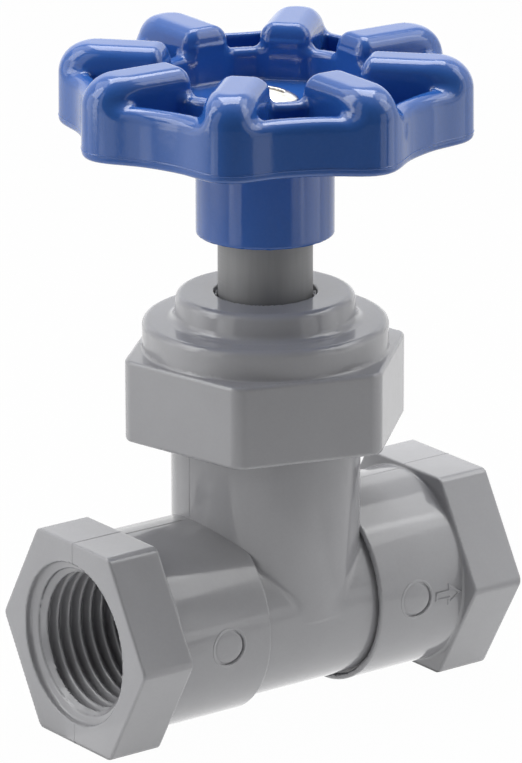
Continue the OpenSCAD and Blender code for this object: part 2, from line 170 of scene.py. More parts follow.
# Radius, height, and how much deeper the row lies where the gap is deepest
MARK_ROWS = (
    (0.0, -0.02, 0.0),
    (1.2, -0.02, 0.0),
    (2.0, -0.02, 0.0),
    (2.14, -0.03, 0.03),
    (2.2, -0.05, 0.22),
    (2.24, -0.06, 0.42),
    (2.42, -0.06, 0.42),
    (2.46, -0.04, 0.22),
    (2.52, 0.0, 0.0),
    (2.58, 0.04, 0.0),
    (2.66, 0.06, 0.0),
    (2.74, 0.04, 0.0),
    (2.82, 0.0, 0.0),
    (2.88, -0.06, 0.0),
    (2.84, -0.2, 0.0),
    (2.3, -0.7, 0.0),
    (0.0, -0.7, 0.0),
)

# Flow arrow on the outlet's collar: x of its tail, barbs and tip, heights from its middle, how
# far the middle lies over the axis, and the width and height of its line
ARROW_X = (18.9, 21.05, 22.95)
ARROW_HALF = 0.5
ARROW_SPREAD = 1.25
ARROW_MIDDLE = -0.35
ARROW_LINE = (0.42, 0.24)

# Fine raised lines: width and height, and their section as shares of both
SEAM_LINE = (0.16, 0.05)
LIP_LINE = (0.3, 0.07)
LIP_SIDES = 720
MITRE_LIMIT = 0.5
LINE_SECTION = (
    (-0.5, -1.0),
    (-0.44, 0.1),
    (-0.27, 0.75),
    (0.0, 1.0),
    (0.27, 0.75),
    (0.44, 0.1),
    (0.5, -1.0),
)
# Free room at a seam's end: beside an edge, where a collar is filled in, and where the neck is
SEAM_GAPS = (0.1, 0.2, 0.3)
# Middle of a rounded edge: how far it lies inside the corner, as a share of the radius, and each
# part of its normal
EDGE_INSET = 0.3
EDGE_NORMAL = 0.7

# Bonnet
BONNET_Z = node_z("bonnet", 0)
BONNET_AF = 35.1
BONNET_CORNER_R = 1.2
BONNET_EDGE_R = 0.45
BONNET_TURN = math.radians(-17.3)
BONNET_OVERLAP = 2
SHOULDER_Z = 50.2
SHOULDER_TOP_Z = 54.3
SHOULDER_R = 16.7
SHOULDER_EDGE_R = 0.9
SHOULDER_FILLET_R = 0.3
BOSS_R = 12.05
BOSS_LEAN = 0.1
BOSS_TOP_Z = node_z("bonnet", 1)
BOSS_EDGE_R = 0.9
BOSS_FILLET_R = 1.0
CEILING_Z = 50.7
BONNET_BORE_R = 14.3
BONNET_BORE_EDGE_R = 0.3
BONNET_RIM_R = 0.4
SLEEVE_Z = 32.6
SLEEVE_R = 9.8
SLEEVE_EDGE_R = 0.3
SLEEVE_FILLET_R = 0.2
# The step lies above the solid's, clear of the stem's thread when the valve is fully open
GLAND_LOW_Z = 47.45
GLAND_R = 6.48
GLAND_EDGE_R = 0.15
GLAND_RELIEF_R = 6.99
GLAND_RELIEF_DEPTH = 0.8
STEM_THREAD_R = 7.95
STEM_R = 6.43

# Handwheel: lobed rim
WHEEL_TURN = math.radians(-2.7)
LOBES = 8
TIP_R = 28.2
LOBE_DEPTH = 3.2
LOBE_PINCH = 0.6
# The rim's slope is worked out as if no point were closer to the axis than this
LEAST_LOBE_R = 8
DRAFT = 0.01
SKIRT_Z = node_z("handwheel", 0)
RIDGE_TOP_Z = node_z("handwheel", 1)
RIM_Z = SKIRT_Z + 14.1
RIM_TOP_Z = RIM_Z + 7.7
RIM_EDGE_R = 0.8
LIP_Z = RIM_Z + 1.15
RIM_WALL = 2.4
WALL_INNER_R = 0.45
WALL_OUTER_R = 1.7
# Well, its ring, and the web between ring and rim
WELL_R = 13.8
WELL_FLOOR_Z = RIM_Z + 3.5
FLOOR_FILLET_R = 0.35
RING_R = 16.2
RING_EDGE_R = 0.9
RING_FILLET_R = 0.1
WEB_Z = (RIM_Z + 1.0, RIM_Z + 3.0)
WEB_FILLET_R = 0.9
# Ridges and their inner ends
RIDGE_HALF = 3.6
RIDGE_DRAFT = 0.03
RIDGE_CROWN = 0.05
RIDGE_CROWN_H = 3
RIDGE_EDGE_R = 1.8
RIDGE_FILLET_R = 1.0
RIDGE_TIP_R = 4.2
RIDGE_END_R = 2.75
RIDGE_END_X = WELL_R - 0.6
END_INSET = 0.9
# The cut that rounds these ends moves inwards by this much over this height, to spare the ring
END_SINK = 4
END_SINK_H = 1.6
# Hollow under a ridge, and the pan under the web
CORE_HALF = 1.5
CORE_ROOF = 2.4
CORE_EDGE_R = 0.4
CORE_RIM_R = 0.2
PAN_EDGE_R = 0.3
# Hub skirt, the stem's square socket and the screw's hole
SKIRT_R = 9.35
SKIRT_EDGE_R = 0.25
SKIRT_FILLET_R = 0.8
SKIRT_GAP = 0.3
SOCKET_TOP_Z = WELL_FLOOR_Z - 2.2
SOCKET_HALF = 4.4
SOCKET_EDGE_R = 0.15
DRIVE_Z = SOCKET_TOP_Z - 7.2
SCREW_HOLE_R = 2.2

# Handwheel screw: domed head with a cross recess
SCREW_HEAD_R = 4.6
SCREW_GRID_HALF = 5
SCREW_RIM_H = 0.8
SCREW_DOME_H = 1.6
SCREW_DOME_EDGE_R = 0.25
SCREW_RIM_EDGE_R = 0.1
SCREW_R = 2.0
SCREW_LEN = 13.0
SCREW_END_R = 0.3
SCREW_OVERLAP = 0.5
SCREW_FILLET_R = 0.15
CROSS_LEN = 4.6
CROSS_W = 0.9
CROSS_DEPTH = 0.2
CROSS_TAPER = 0.25
CROSS_SIDE_TAPER = 0.2
CROSS_EDGE_R = 0.15
CROSS_FILLET_R = 0.35
CROSS_RIM_R = 0.12

# Camera, in millimetres and degrees, with its clipping in metres
CAMERA_AT = (-445.4, -597.6, 279.5)
CAMERA_AZ, CAMERA_EL, CAMERA_ROLL = -36.65, 17.46, -0.14
CAMERA_LENS = 272.0
CAMERA_SENSOR = 36
CAMERA_CLIP = (0.05, 30)

# Floor and world, in metres. The glow is the share of plain white in the floor, and the sheen is
# what is left of it in a reflection. A reach says where, on the way towards the camera's side,
# reflections fade from the white background to the dark studio's front level. The world gives
# every ray at least the ambient.
FLOOR_HALF = 6.0
FLOOR_GAP = 0.0001
FLOOR_GREY = 0.45
FLOOR_GLOW = 0.985
FLOOR_SHEEN = 0.94
FLOOR_REACH = (0.0, 0.15)
SKY_REACH = (-0.2, 0.7)
FRONT_LEVEL = 0.05
AMBIENT = 0.08

# Lamps, in metres. Softboxes stand around the valve: degrees to the right of the camera's side,
# distance, width, lowest and highest point, and level.
SIDE_LAMPS = {
    "left_key": (-70, 0.19, 0.045, 0.045, 0.16, 3.2),
    "left_wide": (-91, 0.19, 0.10, 0.045, 0.16, 1.3),
    "left_high": (-85, 0.19, 0.085, 0.16, 0.34, 4.1),
    "left_fill": (-50, 0.22, 0.085, 0.002, 0.34, 1.12),
    "left_strip": (-73, 0.175, 0.165, 0.002, 0.016, 0.37),
    "left_low": (-76, 0.19, 0.18, 0.018, 0.044, 0.5),
    "right_fill": (55, 0.22, 0.085, 0.002, 0.16, 0.87),
    "right_low": (80, 0.19, 0.14, 0.002, 0.03, 0.86),
    "right_side": (85, 0.19, 0.085, 0.03, 0.16, 0.98),
    "right_high": (85, 0.19, 0.12, 0.16, 0.34, 2.45),
    "right_back": (110, 0.19, 0.085, 0.002, 0.34, 0.25),
    "back_panel": (180, 0.45, 0.70, 0.002, 0.25, 0.33),
    "back_high": (180, 0.45, 0.70, 0.236, 0.36, 0.6),
}
# Square lamps overhead, aimed at a point on the stem: way to the right, and level
TOP_LAMPS = {"top_lamp": (0, 6.3), "top_left": (-0.3, 1.76), "top_right": (0.3, 2.0)}
TOP_LAMP_Z = 0.5
TOP_LAMP_BACK = 0.15
TOP_LAMP_AIM_Z = 0.05
TOP_LAMP_SIZE = 0.3
# Panels that lie on the floor and shine up: way to the right and towards the camera, size, level
TABLE_LAMPS = {
    "table_glow_left": (-0.24, 0, (0.32, 0.3), 0.19),
    "table_glow_near": (0, 0.06, (0.16, 0.10), 0.41),
}
TABLE_LAMP_Z = 0.0004


# Fields


def both(a, b, r):
    """Where both fields are negative, with the edge between them rounded to radius r."""
    return np.minimum(np.maximum(a, b), -r) + np.hypot(
        np.maximum(a + r, 0), np.maximum(b + r, 0)
    )


def either(a, b, r):
    """Where either field is negative, with the corner between them filled to radius r."""
    return -both(-a, -b, r)


def without(a, b, r):
    """Field a with field b cut away, and the edge of the cut rounded to radius r."""
    return both(a, -b, r)


def slab(v, lo, hi):
    """Field of the layer between two values of a coordinate."""
    return np.abs(v - (lo + hi) / 2) - (hi - lo) / 2


def hexagon(u, v, across_flats, corner_r):
    """Field of a hexagon with flats facing along v."""
    half = across_flats / 2
    lean = math.cos(math.radians(30)) * np.abs(u)
    sides = both(lean + v / 2 - half, lean - v / 2 - half, corner_r)
    return both(sides, np.abs(v) - half, corner_r)


def hexagon_reach(half_flats):
    """Half the grid that a hexagon needs, from half its size across the flats."""
    return half_flats / math.cos(math.radians(30)) + ROOM


# Meshes


def smooth_piece(name, field, lo, hi, step):
    """Mesh of the surface on which field(x, y, z) is zero, by surface nets, with exact normals."""
    lo = np.array(lo, float)
    counts = np.ceil((np.array(hi, float) - lo) / step).astype(int) + 1
    axes = [lo[i] + step * np.arange(counts[i]) for i in range(3)]
    values = np.empty(counts, np.float32)
    for k in range(0, counts[2], LAYERS_AT_ONCE):
        layers = slice(k, k + LAYERS_AT_ONCE)
        grid = np.meshgrid(axes[0], axes[1], axes[2][layers], indexing="ij")
        values[:, :, layers] = field(*grid)
    cells = counts - 1
    hits = np.zeros(cells.prod())
    sums = np.zeros((3, cells.prod()))
    crossings = []
    for axis in range(3):
        low = values[tuple(slice(0, -1) if i == axis else slice(None) for i in range(3))]
        high = values[tuple(slice(1, None) if i == axis else slice(None) for i in range(3))]
        at = np.argwhere((low < 0) != (high < 0))
        a, b = low[tuple(at.T)], high[tuple(at.T)]
        place = at.astype(float)
        place[:, axis] += a / (a - b)
        corners = []
        for du, dv in ((-1, -1), (0, -1), (0, 0), (-1, 0)):
            cell = at.copy()
            cell[:, (axis + 1) % 3] += du
            cell[:, (axis + 2) % 3] += dv
            flat = np.ravel_multi_index(tuple(cell.T), tuple(cells))
            corners.append(flat)
            hits += np.bincount(flat, minlength=hits.size)
            for i in range(3):
                sums[i] += np.bincount(flat, weights=place[:, i], minlength=hits.size)
        quads = np.stack(corners, 1)
        quads[a > 0] = quads[a > 0][:, ::-1]
        crossings.append(quads)
    used = np.flatnonzero(hits)
    number = np.full(hits.size, -1)
    number[used] = np.arange(used.size)
    points = (sums[:, used] / hits[used]).T * step + lo
    quads = number[np.concatenate(crossings)]

    def slope(p, reach):
        out = np.empty_like(p)
        for i in range(3):
            shift = np.zeros(3)
            shift[i] = reach
            out[:, i] = (field(*(p + shift).T) - field(*(p - shift).T)) / (2 * reach)
        return out

    for _ in range(ROUNDS):
        g = slope(points, SLOPE_REACH)
        move = field(*points.T)[:, None] * g / np.maximum((g * g).sum(1), LEAST_SLOPE)[:, None]
        size = np.linalg.norm(move, axis=1)
        move *= np.minimum(1, LARGEST_MOVE * step / np.maximum(size, TINY))[:, None]
        points -= move
    normals = slope(points, NORMAL_REACH)
    normals /= np.maximum(np.linalg.norm(normals, axis=1), TINY)[:, None]
    return mesh_piece(name, points, quads.tolist(), normals)


def put_in_scene(name, data):
    item = bpy.data.objects.new(name, data)
    bpy.context.scene.collection.objects.link(item)
    return item


def mesh_piece(name, points, faces, normals=None):
    """Smooth object from points in mm."""
    mesh = bpy.data.meshes.new(name)
    mesh.from_pydata((np.asarray(points) * MM).tolist(), [], faces)
    mesh.polygons.foreach_set("use_smooth", np.ones(len(mesh.polygons), bool))
    if normals is not None:
        mesh.normals_split_custom_set_from_vertices(normals.tolist())
    mesh.update()
    return put_in_scene(name, mesh)


def join(name, pieces):
    """One flat-shaded piece from several meshes."""
    points, faces = [], []
    for piece in pieces:
        start = len(points)
        points += [tuple(v.co / MM) for v in piece.data.vertices]
        faces += [[start + i for i in p.vertices] for p in piece.data.polygons]
        bpy.data.objects.remove(piece)
    mesh = bpy.data.meshes.new(name)
    mesh.from_pydata([[c * MM for c in p] for p in points], [], faces)
    return put_in_scene(name, mesh)


# Materials


class Shader:
    """Short hand for building a node tree. A texture's place is the object's own coordinates."""

    # The colour sockets of a Mix node share their names with its others
    MIX_A, MIX_B, MIX_RESULT = 6, 7, 2

    def __init__(self, name):
        self.material = bpy.data.materials.new(name)
        self.material.use_nodes = True
        self.tree = self.material.node_tree
        self.main = self.tree.nodes["Principled BSDF"]
        self.place = self.add("ShaderNodeTexCoord").outputs["Object"]

    def add(self, kind, **sockets):
        node = self.tree.nodes.new(kind)
        for key, value in sockets.items():
            self.put(node.inputs[key], value)
        return node

    def put(self, socket, value):
        if isinstance(value, bpy.types.NodeSocket):
            self.tree.links.new(value, socket)
        else:
            socket.default_value = value

    def noise(self, scale, detail, rough=0.5, place=None):
        node = self.add("ShaderNodeTexNoise", Scale=scale, Detail=detail, Roughness=rough)
        self.put(node.inputs["Vector"], place or self.place)
        return node.outputs["Fac"]

    def streaks(self, scale, detail):
        """Noise with its own scale along each axis."""
        node = self.add("ShaderNodeMapping", Scale=scale)
        self.put(node.inputs["Vector"], self.place)
        return self.noise(1, detail, rough=0.6, place=node.outputs["Vector"])

    def ramp(self, value, lo, hi, out_lo=0.0, out_hi=1.0):
        node = self.add("ShaderNodeMapRange")
        for i, v in enumerate((value, lo, hi, out_lo, out_hi)):
            self.put(node.inputs[i], v)
        return node.outputs["Result"]

    def math(self, operation, a, b):
        node = self.add("ShaderNodeMath")
        node.operation = operation
        self.put(node.inputs[0], a)
        self.put(node.inputs[1], b)
        return node.outputs["Value"]

    def mix(self, factor, a, b):
        node = self.add("ShaderNodeMix")
        node.data_type = "RGBA"
        self.put(node.inputs["Factor"], factor)
        self.put(node.inputs[self.MIX_A], a)
        self.put(node.inputs[self.MIX_B], b)
        return node.outputs[self.MIX_RESULT]

    def bump(self, height, distance, strength, before=None):
        node = self.add("ShaderNodeBump", Strength=strength, Distance=distance)
        self.put(node.inputs["Height"], height)
        if before is not None:
            self.put(node.inputs["Normal"], before)
        return node.outputs["Normal"]

    def finish(self, **looks):
        """The material, with values or sockets put into its shader."""
        for key, value in looks.items():
            self.put(self.main.inputs[key.replace("_", " ")], value)
        return self.material


def linear(r, g, b):
    """Colour socket value from the 0-255 colour that the surface should look like."""
    out = []
    for v in (r, g, b):
        v /= 255
        out.append(v / 12.92 if v <= 0.04045 else ((v + 0.055) / 1.055) ** 2.4)
    return (*out, 1.0)


def darker(colour, share):
    return tuple(c * share for c in colour[:3]) + (1.0,)


PLASTIC_IOR = 1.53


def moulded_plastic(name, colour, worn):
    """Injection-moulded plastic: cloudy colour, fine grain, edges a little rubbed."""
    s = Shader(name)
    cloud = s.ramp(s.noise(scale=90, detail=4), 0.3, 0.7)
    fleck = s.ramp(s.noise(scale=2600, detail=2), 0.35, 0.75)
    edges = s.ramp(s.add("ShaderNodeNewGeometry").outputs["Pointiness"], 0.53, 0.62)
    patches = s.ramp(s.noise(scale=420, detail=5, rough=0.6), 0.35, 0.65)
    rubbed = s.math("MULTIPLY", edges, patches)
    rub_share = s.math("MULTIPLY", rubbed, 0.12)
    base = s.mix(cloud, darker(colour, 0.93), colour)
    base = s.mix(s.math("MULTIPLY", fleck, 0.05), base, worn)
    base = s.mix(rub_share, base, worn)
    gloss = s.ramp(s.streaks((260, 260, 60), detail=4), 0.3, 0.7, 0.07, 0.15)
    skin = s.bump(s.noise(scale=700, detail=3), distance=0.0003, strength=0.048)
    skin = s.bump(s.noise(scale=4200, detail=2), distance=0.00003, strength=0.144, before=skin)
    return s.finish(
        Base_Color=base, Roughness=s.math("ADD", gloss, rub_share), Normal=skin, IOR=PLASTIC_IOR
    )


def turned_plastic(name, colour):
    """Plastic with the fine rings of turning around Z."""
    s = Shader(name)
    rings = s.streaks((30, 30, 3800), detail=3)
    cloud = s.ramp(s.streaks((900, 900, 60), detail=4), 0.3, 0.7)
    return s.finish(
        Base_Color=s.mix(cloud, darker(colour, 0.88), colour),
        Roughness=s.ramp(rings, 0.3, 0.7, 0.37, 0.5),
        Normal=s.bump(rings, distance=0.00004, strength=0.5),
        IOR=PLASTIC_IOR,
    )


def steel(name):
    """Bright steel with faint smears."""
    s = Shader(name)
    smear = s.ramp(s.streaks((900, 2600, 900), detail=4), 0.25, 0.75)
    tint = s.ramp(s.noise(scale=500, detail=4), 0.35, 0.7)
    return s.finish(
        Base_Color=s.mix(tint, (0.80, 0.77, 0.70, 1), (0.88, 0.87, 0.85, 1)),
        Roughness=s.ramp(smear, 0, 1, 0.16, 0.30),
        Normal=s.bump(smear, distance=0.00002, strength=0.4),
        Metallic=1.0,
    )


def rubber(name):
    """Matt black rubber."""
    s = Shader(name)
    cloud = s.ramp(s.noise(scale=700, detail=4), 0.3, 0.7)
    return s.finish(
        Base_Color=s.mix(cloud, (0.012, 0.012, 0.013, 1), (0.030, 0.030, 0.031, 1)),
        Roughness=s.ramp(cloud, 0, 1, 0.55, 0.72),
        Normal=s.bump(s.noise(scale=3000, detail=3), distance=0.00005, strength=0.5),
    )


grey = moulded_plastic("grey_plastic", linear(163, 163, 166), worn=linear(190, 191, 194))
blue = moulded_plastic("blue_plastic", linear(43, 91, 167), worn=linear(90, 130, 195))
satin_grey = turned_plastic("satin_grey", linear(138, 138, 138))
bright = steel("bright_steel_metal")
black = rubber("black_rubber_skin")


# Valve body


def face_x(side):
    """Distance of the inlet's (side -1) or outlet's (side 1) end face from the stem's axis."""
    return FACE_X + (INLET_PROUD if side < 0 else 0)


def port_radius(x, y, z, side):
    """Radius of the port at each point: plain lead, then a right-hand thread that fades in."""
    turn = np.arctan2(z - AXIS_Z, y) / (2 * math.pi)
    wave = np.abs((x / THREAD_PITCH - turn) % 1 - 0.5) * 2
    depth = np.clip((wave - THREAD_CREST) / THREAD_FLANK, 0, 1)
    smooth = depth * depth * (3 - 2 * depth)
    depth = smooth * THREAD_ROUNDING + depth * (1 - THREAD_ROUNDING)
    inward = np.maximum(face_x(side) - MOUTH_LEN - LEAD_LEN - side * x, 0)
    root = np.minimum(THREAD_ROOT_R, LEAD_R + ROOT_FADE * inward)
    thread = THREAD_CREST_R + depth * (root - THREAD_CREST_R)
    return np.maximum(thread, LEAD_R - inward * LEAD_SLOPE)


def body_space(x, y, z):
    """Ports, waterway, seat and neck bore, negative where there is water."""
    rho = np.hypot(y, z - AXIS_Z)
    r = np.hypot(x, y)
    ports = np.full_like(rho, FAR)
    for side in (-1, 1):
        port = np.maximum(rho - port_radius(x, y, z, side), PORT_END_X - side * x)
        ledge = face_x(side) - MOUTH_LEN - side * x + LEDGE_LEAN * (MOUTH_R - rho)
        mouth = both(rho - MOUTH_R, ledge, MOUTH_EDGE_R)
        ports = np.minimum(ports, either(port, mouth, MOUTH_EDGE_R))
    way_in = np.maximum(rho - WAY_R, slab(x, -PORT_END_X - PAST, CHAMBER_X[0] + PAST / 2))
    chamber = np.maximum(np.maximum(rho - CHAMBER_R, slab(x, *CHAMBER_X)), z - PLATE_Z[0])
    way_out = np.maximum(rho - WAY_R, slab(x, OUTLET_X, PORT_END_X + PAST))
    passage = np.maximum(np.maximum(rho - WAY_R, slab(x, 0, PORT_END_X)), PLATE_Z[1] - z)
    bore = np.maximum(r - NECK_BORE_R, PLATE_Z[1] - z)
    land = np.maximum(slab(r, SEAT_R, SEAT_LAND_R), z - SEAT_TOP_Z)
    bore = np.maximum(bore, -land)
    seat = np.maximum(r - SEAT_R, slab(z, PLATE_Z[0] - PAST, SEAT_TOP_Z + PAST))
    space = np.minimum(ports, way_in)
    for part in (chamber, way_out, passage, bore, seat):
        space = either(space, part, WAY_EDGE_R)
    return space


def body_end(name, side):
    """Hexagon and collar of the inlet (side -1) or outlet (side 1), with its port."""

    def field(x, y, z):
        out = side * x
        zz = z - AXIS_Z
        rho = np.hypot(y, zz)
        face = face_x(side)
        flats = hexagon(y, zz, 2 * AXIS_Z, HEX_CORNER_R)
        nut = both(flats, slab(out, face - HEX_THICK, face), HEX_EDGE_R)
        collar = both(rho - COLLAR_R, slab(out, COLLAR_X, face - PAST), COLLAR_EDGE_R)
        groove = np.maximum(rho - GROOVE_R, out - COLLAR_X - GROOVE_DEPTH)
        shape = without(either(nut, collar, HEX_FILLET_R), groove, GROOVE_EDGE_R)
        pocket = np.maximum(
            np.hypot(out - MARK_X[side], zz) - MARK_POCKET_R,
            np.maximum(COLLAR_R - MARK_POCKET_DEPTH - rho, y),
        )
        shape = without(shape, pocket, GROOVE_EDGE_R)
        return without(shape, body_space(x, y, z), PORT_EDGE_R)

    reach = hexagon_reach(AXIS_Z)
    xs = sorted((side * (COLLAR_X - BODY_ROOM), side * (face_x(side) + BODY_ROOM)))
    lo = (xs[0], -reach, -BODY_ROOM)
    hi = (xs[1], reach, 2 * AXIS_Z + BODY_ROOM)
    return smooth_piece(name, field, lo, hi, END_STEP)


def middle_field(x, y, z):
    """Barrel between the collars, and the neck with its thread."""
    rho = np.hypot(y, z - AXIS_Z)
    r = np.hypot(x, y)
    barrel = both(rho - BARREL_R, np.abs(x) - COLLAR_X - PAST, BARREL_EDGE_R)
    neck = both(r - NECK_R, slab(z, AXIS_Z, NECK_TOP_Z), NECK_EDGE_R)
    turn = np.arctan2(y, x) / (2 * math.pi)
    wave = np.abs(((z / NECK_THREAD_PITCH - turn) % 1) - 0.5) * 2
    rise = np.clip(wave * NECK_THREAD_STEEP - NECK_THREAD_OFFSET, 0, 1)
    thread_r = NECK_R + (NECK_THREAD_R - NECK_R) * rise
    thread = both(r - thread_r, slab(z, BONNET_Z + NECK_THREAD_START, NECK_TOP_Z), NECK_EDGE_R)
    shape = either(either(barrel, neck, SADDLE_R), thread, NECK_THREAD_FILLET_R)
    return without(shape, body_space(x, y, z), NECK_BORE_EDGE_R)


def body_middle():
    reach = NECK_THREAD_R + BODY_ROOM
    lo = (-reach, -reach, BODY_MIDDLE_LOW_Z)
    hi = (reach, reach, NECK_TOP_Z + BODY_ROOM)
    return smooth_piece("valve_body_barrel", middle_field, lo, hi, MIDDLE_STEP)


# Bonnet


def bonnet_field(x, y, z):
    """Hexagon, shoulder and boss, with the room for the neck and the bore for the stem."""
    r = np.hypot(x, y)
    c, s = math.cos(BONNET_TURN), math.sin(BONNET_TURN)
    flats = hexagon(c * x + s * y, c * y - s * x, BONNET_AF, BONNET_CORNER_R)
    nut = both(flats, slab(z, BONNET_Z, SHOULDER_Z), BONNET_EDGE_R)
    low = BONNET_Z + BONNET_OVERLAP
    shoulder = both(r - SHOULDER_R, slab(z, low, SHOULDER_TOP_Z), SHOULDER_EDGE_R)
    boss_r = BOSS_R + BOSS_LEAN * (BOSS_TOP_Z - z)
    boss = both(r - boss_r, slab(z, low, BOSS_TOP_Z), BOSS_EDGE_R)
    shape = either(either(nut, shoulder, SHOULDER_FILLET_R), boss, BOSS_FILLET_R)
    sleeve = both(r - SLEEVE_R, slab(z, SLEEVE_Z, CEILING_Z + PAST), SLEEVE_EDGE_R)
    room = both(r - BONNET_BORE_R, slab(z, BONNET_Z - PAST, CEILING_Z), BONNET_BORE_EDGE_R)
    shape = either(without(shape, room, BONNET_RIM_R), sleeve, SLEEVE_FILLET_R)
    bore = np.minimum(
        np.maximum(r - STEM_THREAD_R, slab(z, SLEEVE_Z - PAST, GLAND_LOW_Z)),
        np.maximum(r - GLAND_R, slab(z, GLAND_LOW_Z - PAST, BOSS_TOP_Z + PAST)),
    )
    relief = np.maximum(r - GLAND_RELIEF_R, BOSS_TOP_Z - GLAND_RELIEF_DEPTH - z)
    return without(shape, np.minimum(bore, relief), GLAND_EDGE_R)


def bonnet_shell():
    reach = hexagon_reach(BONNET_AF / 2)
    lo = (-reach, -reach, SLEEVE_Z - ROOM)
    hi = (reach, reach, BOSS_TOP_Z + ROOM)
    return smooth_piece("bonnet_shell", bonnet_field, lo, hi, BONNET_STEP)


# Handwheel


def lobe_radius(angle):
    """Radius of the rim's outside at its foot, and its slope along the rim."""
    swing = (1 - np.cos(LOBES * angle)) / 2
    outline = TIP_R - LOBE_DEPTH * swing * (1 + LOBE_PINCH * (1 - swing))
    lean = LOBE_DEPTH * (1 + LOBE_PINCH * (1 - 2 * swing))
    return outline, lean * LOBES * np.sin(LOBES * angle) / 2


def wheel_field(x, y, z):
    """Handwheel, worked out in one of its equal sectors, with a ridge in the middle."""
    r = np.hypot(x, y)
    angle = np.arctan2(y, x) - WHEEL_TURN
    step = 2 * math.pi / LOBES
    angle = angle - step * np.round(angle / step)
    along, across = r * np.cos(angle), np.abs(r * np.sin(angle))
    outline, lean = lobe_radius(angle)
    stretch = np.hypot(1, lean / np.maximum(r, LEAST_LOBE_R))
    outer = (r - outline + DRAFT * (z - RIM_Z)) / stretch

    # Rim wall, well's ring and ridges all run on outwards until the profile trims them
    wall = both(-outer - RIM_WALL, z - RIM_TOP_Z, WALL_INNER_R)
    ring_wall = np.abs(r - (WELL_R + RING_R) / 2) - (RING_R - WELL_R) / 2
    ring = both(ring_wall, z - RIM_TOP_Z, RING_EDGE_R)
    side = across - RIDGE_HALF + RIDGE_DRAFT * (z - RIM_TOP_Z)
    side = side + RIDGE_CROWN * np.maximum(z - RIDGE_TOP_Z + RIDGE_CROWN_H, 0) ** 2
    ridge = both(side, RIDGE_END_X - along, RIDGE_EDGE_R)
    shape = either(either(wall, ring, RING_FILLET_R), ridge, RIDGE_FILLET_R)
    shape = either(shape, slab(z, *WEB_Z), WEB_FILLET_R)
    sink = np.clip((RIM_TOP_Z + END_SINK_H - z) / END_SINK_H, 0, 1)
    end = RIDGE_END_X - END_INSET - along - END_SINK * sink * sink * (3 - 2 * sink)
    profile = both(both(z - RIDGE_TOP_Z, outer, RIDGE_TIP_R), end, RIDGE_END_R)
    shape = both(shape, profile, WALL_OUTER_R)

    # Underside
    shape = both(shape, RIM_Z - z, RIM_EDGE_R)
    pan = both(outer + RIM_WALL, z - WEB_Z[0], PAN_EDGE_R)
    shape = without(shape, pan, PAN_EDGE_R)
    core_lo, core_hi = RING_R + RIM_WALL / 2, TIP_R - RIDGE_TIP_R - RIM_WALL / 4
    core = both(across - CORE_HALF, slab(along, core_lo, core_hi), CORE_EDGE_R)
    core = both(core, z - RIDGE_TOP_Z + CORE_ROOF, CORE_EDGE_R)
    shape = without(shape, core, CORE_RIM_R)

    # Well, hub skirt and socket
    floor = np.maximum(r - WELL_R - PAST, slab(z, SOCKET_TOP_Z, WELL_FLOOR_Z))
    shape = either(shape, floor, FLOOR_FILLET_R)
    skirt = both(r - SKIRT_R, slab(z, SKIRT_Z, WELL_FLOOR_Z - PAST), SKIRT_EDGE_R)
    shape = either(shape, skirt, SKIRT_FILLET_R)
    bore = np.maximum(r - STEM_R - SKIRT_GAP, z - DRIVE_Z)
    square = np.maximum(np.abs(x), np.abs(y)) - SOCKET_HALF
    square = np.maximum(square, slab(z, DRIVE_Z - PAST, SOCKET_TOP_Z))
    shaft = np.maximum(r - SCREW_HOLE_R, DRIVE_Z - z)
    return without(shape, np.minimum(np.minimum(bore, square), shaft), SOCKET_EDGE_R)


def handwheel_shell():
    reach = TIP_R + ROOM
    lo = (-reach, -reach, SKIRT_Z - ROOM)
    hi = (reach, reach, RIDGE_TOP_Z + ROOM)
    return smooth_piece("handwheel_shell", wheel_field, lo, hi, WHEEL_STEP)


# Handwheel screw


def screw_field(x, y, z):
    """Shank and domed head, with a cross recess that narrows downwards."""
    r = np.hypot(x, y)
    head_z = WELL_FLOOR_Z
    dome_r = (SCREW_HEAD_R**2 + SCREW_DOME_H**2) / (2 * SCREW_DOME_H)
    dome_mid = head_z + SCREW_RIM_H + SCREW_DOME_H - dome_r
    dome = np.sqrt(x * x + y * y + (z - dome_mid) ** 2) - dome_r
    head = both(r - SCREW_HEAD_R, head_z - z, SCREW_RIM_EDGE_R)
    head = both(head, dome, SCREW_DOME_EDGE_R)
    shank_z = slab(z, head_z - SCREW_LEN, head_z + SCREW_OVERLAP)
    shank = both(r - SCREW_R, shank_z, SCREW_END_R)
    shape = either(head, shank, SCREW_FILLET_R)
    u, v = (x + y) / math.sqrt(2), (x - y) / math.sqrt(2)
    floor_z = head_z + SCREW_RIM_H - CROSS_DEPTH
    taper = CROSS_TAPER * (z - floor_z)
    arms = []
    for p, q in ((u, v), (v, u)):
        arm_end = np.abs(p) - CROSS_LEN / 2 - taper
        arm_side = np.abs(q) - CROSS_W / 2 - CROSS_SIDE_TAPER * taper
        arms.append(both(arm_end, arm_side, CROSS_EDGE_R))
    cross = both(either(*arms, CROSS_FILLET_R), floor_z - z, CROSS_EDGE_R)
    return without(shape, cross, CROSS_RIM_R)


def screw_head_and_shank():
    top = WELL_FLOOR_Z + SCREW_RIM_H + SCREW_DOME_H
    lo = (-SCREW_GRID_HALF, -SCREW_GRID_HALF, WELL_FLOOR_Z - SCREW_LEN - SCREW_ROOM)
    hi = (SCREW_GRID_HALF, SCREW_GRID_HALF, top + SCREW_ROOM)
    return smooth_piece("screw_head_and_shank", screw_field, lo, hi, SCREW_STEP)


# Fine raised lines and marks


